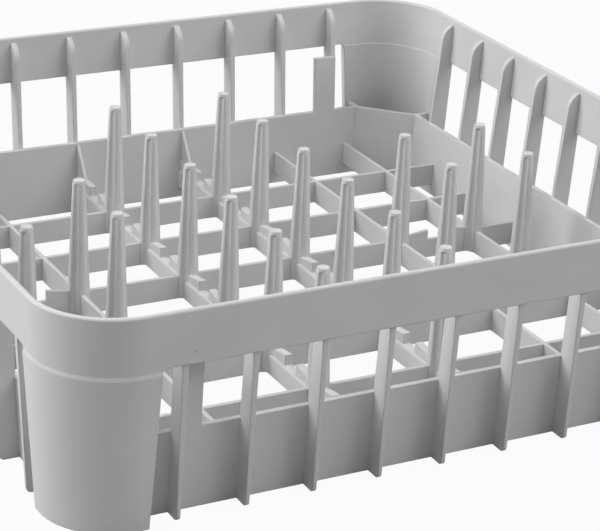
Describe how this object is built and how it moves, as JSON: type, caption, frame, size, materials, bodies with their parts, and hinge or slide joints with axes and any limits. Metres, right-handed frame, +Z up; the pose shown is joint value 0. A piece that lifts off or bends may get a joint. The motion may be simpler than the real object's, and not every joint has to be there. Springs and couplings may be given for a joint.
{
  "type": "dishwasher peg rack",
  "caption": "Square moulded dishwasher rack with an upper band, ribbed windows, a low wall, an open floor grid, fluted upright pegs and plate seats, for washing glasses, cups and small plates.",
  "frame": {"origin": "middle of the footprint, on the surface that the rack stands on", "axes": "+Z up, +X along the front wall to the right, +Y from the front wall to the back wall"},
  "size_m": [0.3998, 0.3998, 0.108],
  "materials": {
    "polypropylene": "light grey moulded polypropylene, satin, with faint flow lines"
  },
  "bodies": {
    "root": {"rack": "polypropylene"}
  },
  "joints": []
}
